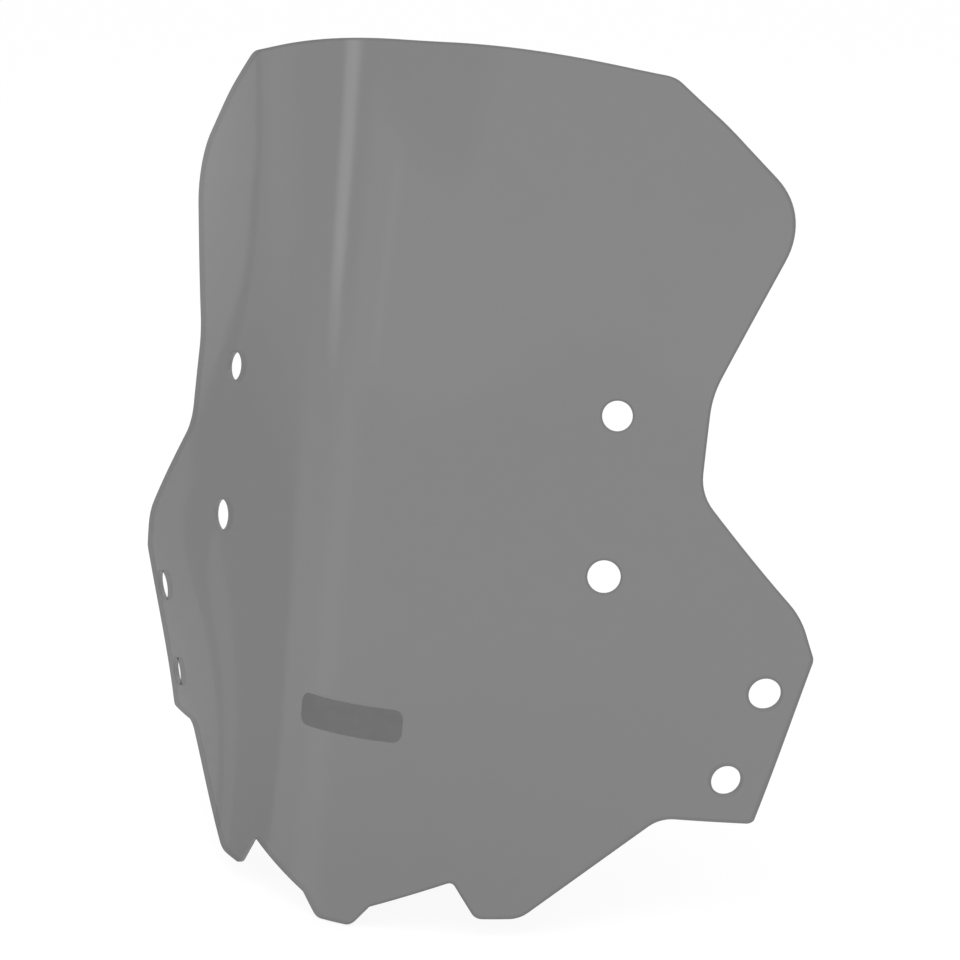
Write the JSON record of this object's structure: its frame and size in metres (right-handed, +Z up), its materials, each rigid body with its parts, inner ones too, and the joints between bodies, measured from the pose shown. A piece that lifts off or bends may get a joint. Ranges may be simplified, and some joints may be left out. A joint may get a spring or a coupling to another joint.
{
  "type": "motorcycle windshield screen",
  "caption": "Tinted acrylic motorcycle screen, formed round a leaning nose, with narrow waist, side wings, lobed lower edge, mounting holes and a blank mark film.",
  "frame": {"origin": "under the middle of the sheet's width and depth, level with its lowest edge", "axes": "-Y forward, out of the convex front; +Z up as fitted; +X to the rider's left; the same left and right of X = 0"},
  "size_m": [0.424, 0.1576, 0.4504],
  "materials": {
    "smoked_acrylic": "polished",
    "mark_vinyl": "satin"
  },
  "bodies": {
    "root": {"screen": "smoked_acrylic", "mark_film": "mark_vinyl"}
  },
  "joints": []
}
